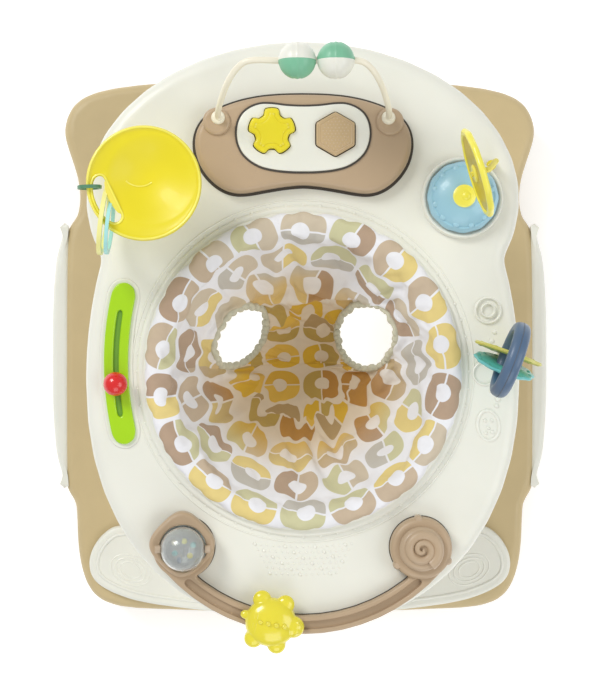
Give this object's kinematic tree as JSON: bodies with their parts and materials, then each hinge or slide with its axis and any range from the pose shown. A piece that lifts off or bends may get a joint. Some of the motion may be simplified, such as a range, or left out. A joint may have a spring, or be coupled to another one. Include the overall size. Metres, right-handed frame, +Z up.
{
  "type": "baby walker",
  "caption": "Baby walker with a wheeled base, folding crossed legs, a turning fabric seat and a toy tray with a light-up style console, beads and sliding toys.",
  "frame": {"origin": "on the floor under the middle of the walker", "axes": "+Z up, +Y towards the console, the way the child faces, +X to the child's right"},
  "size_m": [0.6948, 0.752, 0.6078],
  "materials": {
    "tan_plastic": "satin",
    "cream_plastic": "semi-gloss",
    "brown_plastic": "satin",
    "yellow_plastic": "glossy",
    "lime_plastic": "glossy",
    "red_plastic": "glossy",
    "blue_plastic": "glossy",
    "navy_plastic": "semi-gloss",
    "teal_plastic": "glossy",
    "green_plastic": "semi-gloss",
    "clear_plastic": "clear",
    "steel_tube": "satin",
    "rubber": "matt",
    "seat_fabric": "printed woven cloth",
    "circuit_board": "matt",
    "dark_plastic": "matt"
  },
  "bodies": {
    "base": {"base_shell": "tan_plastic", "rear_deck": "cream_plastic", "bumper_left": "cream_plastic", "bumper_right": "cream_plastic", "base_track_left": "cream_plastic", "base_track_right": "cream_plastic", "stopper_left": "rubber", "stopper_right": "rubber", "rear_left_fork": "tan_plastic", "rear_right_fork": "tan_plastic", "rear_left_axle": "steel_tube", "rear_right_axle": "steel_tube"},
    "front_left_caster": {"front_left_fork": "tan_plastic", "front_left_axle": "steel_tube"},
    "front_right_caster": {"front_right_fork": "tan_plastic", "front_right_axle": "steel_tube"},
    "front_left_wheel": {"front_left_wheel": "cream_plastic"},
    "front_right_wheel": {"front_right_wheel": "cream_plastic"},
    "rear_left_wheel": {"rear_left_wheel": "cream_plastic"},
    "rear_right_wheel": {"rear_right_wheel": "cream_plastic"},
    "leg_a": {"leg_frame_a": "steel_tube", "crossing_pin_left": "steel_tube", "crossing_pin_right": "steel_tube"},
    "leg_b": {"leg_frame_b": "steel_tube"},
    "tray": {"tray_top": "cream_plastic", "tray_bottom": "cream_plastic", "tray_track_left": "cream_plastic", "tray_track_right": "cream_plastic", "seat_bearing": "cream_plastic", "console_housing": "brown_plastic", "console_plate": "cream_plastic", "circuit_board": "circuit_board", "speaker": "dark_plastic", "battery_door": "cream_plastic", "bead_arch": "cream_plastic", "dish_post": "yellow_plastic", "slider_plate": "lime_plastic", "dial_socket": "cream_plastic", "large_ring": "navy_plastic", "ring_post": "cream_plastic", "rear_rail": "brown_plastic"},
    "seat": {"seat_ring": "cream_plastic", "seat_sling": "seat_fabric"},
    "star_button": {"star_button": "yellow_plastic"},
    "hexagon_button": {"hexagon_button": "tan_plastic"},
    "bead_left": {"bead_left": "green_plastic"},
    "bead_right": {"bead_right": "green_plastic"},
    "dish": {"dish": "yellow_plastic"},
    "ring_yellow": {"ring_yellow": "yellow_plastic"},
    "ring_teal": {"ring_teal": "teal_plastic"},
    "ring_green": {"ring_green": "green_plastic"},
    "slider_ball": {"slider_ball": "red_plastic"},
    "dial": {"dial": "blue_plastic"},
    "flower": {"flower_disc": "yellow_plastic"},
    "disc_teal": {"disc_teal": "teal_plastic"},
    "disc_yellow": {"disc_yellow": "yellow_plastic"},
    "rattle": {"rattle_ball": "clear_plastic"},
    "snail": {"snail_knob": "cream_plastic"},
    "turtle": {"turtle": "yellow_plastic"}
  },
  "joints": [
    {"name": "leg_fold", "type": "hinge", "parent": "base", "child": "leg_a", "pos_m": [0, 0.23, 0.108], "axis": [1, 0, 0], "range_deg": [0, 35.66]},
    {"name": "leg_cross", "type": "hinge", "parent": "leg_a", "child": "leg_b", "pos_m": [0, 0.09699, 0.254], "axis": [1, 0, 0], "range_deg": [-71.34, 0]},
    {"name": "tray_level", "type": "hinge", "parent": "leg_b", "child": "tray", "pos_m": [0, 0.23, 0.4], "axis": [1, 0, 0], "range_deg": [0, 35.67]},
    {"name": "seat_turn", "type": "hinge", "parent": "tray", "child": "seat", "pos_m": [0, -0.03, 0.46], "axis": [0, 0, 1], "continuous": true},
    {"name": "front_left_swivel", "type": "hinge", "parent": "base", "child": "front_left_caster", "pos_m": [-0.2695, 0.303, 0.051], "axis": [0, 0, 1], "continuous": true},
    {"name": "front_left_roll", "type": "hinge", "parent": "front_left_caster", "child": "front_left_wheel", "pos_m": [-0.2695, 0.287, 0.024], "axis": [1, 0, 0], "continuous": true},
    {"name": "rear_left_roll", "type": "hinge", "parent": "base", "child": "rear_left_wheel", "pos_m": [-0.2515, -0.303, 0.024], "axis": [1, 0, 0], "continuous": true},
    {"name": "front_right_swivel", "type": "hinge", "parent": "base", "child": "front_right_caster", "pos_m": [0.2695, 0.303, 0.051], "axis": [0, 0, 1], "continuous": true},
    {"name": "front_right_roll", "type": "hinge", "parent": "front_right_caster", "child": "front_right_wheel", "pos_m": [0.2695, 0.287, 0.024], "axis": [1, 0, 0], "continuous": true},
    {"name": "rear_right_roll", "type": "hinge", "parent": "base", "child": "rear_right_wheel", "pos_m": [0.2515, -0.303, 0.024], "axis": [1, 0, 0], "continuous": true},
    {"name": "star_press", "type": "slide", "parent": "tray", "child": "star_button", "axis": [0, 0, -1], "range_m": [0, 0.003], "stiffness_N_per_m": 250, "springref_m": -0.001},
    {"name": "hexagon_press", "type": "slide", "parent": "tray", "child": "hexagon_button", "axis": [0, 0, -1], "range_m": [0, 0.003], "stiffness_N_per_m": 250, "springref_m": -0.001},
    {"name": "bead_left_spin", "type": "hinge", "parent": "tray", "child": "bead_left", "pos_m": [-0.008, 0.322, 0.582], "axis": [1, 0, 0], "continuous": true},
    {"name": "bead_right_spin", "type": "hinge", "parent": "tray", "child": "bead_right", "pos_m": [0.0355, 0.322, 0.582], "axis": [1, 0, 0], "continuous": true},
    {"name": "dish_turn", "type": "hinge", "parent": "tray", "child": "dish", "pos_m": [-0.183, 0.186, 0.557], "axis": [0, 0, 1], "range_deg": [-25, 25]},
    {"name": "ring_yellow_swing", "type": "hinge", "parent": "dish", "child": "ring_yellow", "pos_m": [-0.23088, 0.14583, 0.555], "axis": [-0.9911, 0.133, 0], "range_deg": [-5, 5]},
    {"name": "ring_teal_swing", "type": "hinge", "parent": "dish", "child": "ring_teal", "pos_m": [-0.224, 0.13883, 0.555], "axis": [-0.9936, 0.113, 0], "range_deg": [-7, 7]},
    {"name": "ring_green_swing", "type": "hinge", "parent": "dish", "child": "ring_green", "pos_m": [-0.24535, 0.18164, 0.555], "axis": [-0.035, 0.9994, 0], "range_deg": [-5, 5]},
    {"name": "slider_run", "type": "hinge", "parent": "tray", "child": "slider_ball", "pos_m": [0.143, -0.02, 0.4663], "axis": [0, 0, 1], "range_deg": [-10.6, 3.4]},
    {"name": "dial_turn", "type": "hinge", "parent": "tray", "child": "dial", "pos_m": [0.19, 0.177, 0.4666], "axis": [0, 0, 1], "continuous": true},
    {"name": "flower_spin", "type": "hinge", "parent": "tray", "child": "flower", "pos_m": [0.198, 0.198, 0.555], "axis": [0.9549, 0.297, 0], "continuous": true},
    {"name": "disc_teal_spin", "type": "hinge", "parent": "tray", "child": "disc_teal", "pos_m": [0.23429, -0.02332, 0.50852], "axis": [-0.347, -0.9379, 0], "continuous": true},
    {"name": "disc_yellow_spin", "type": "hinge", "parent": "tray", "child": "disc_yellow", "pos_m": [0.23971, -0.00868, 0.50852], "axis": [-0.347, -0.9379, 0], "continuous": true},
    {"name": "rattle_spin", "type": "hinge", "parent": "tray", "child": "rattle", "pos_m": [-0.1422, -0.2394, 0.4891], "axis": [1, 0, 0], "continuous": true},
    {"name": "snail_turn", "type": "hinge", "parent": "tray", "child": "snail", "pos_m": [0.14, -0.24, 0.4826], "axis": [0, 0, 1], "continuous": true},
    {"name": "turtle_run", "type": "hinge", "parent": "tray", "child": "turtle", "pos_m": [0, -0.123, 0.4753], "axis": [0, 0, 1], "range_deg": [-13, 36]}
  ],
  "couplings": [
    {"joint": "leg_cross", "follows": "leg_fold", "ratio": -2},
    {"joint": "tray_level", "follows": "leg_fold", "ratio": 1}
  ]
}
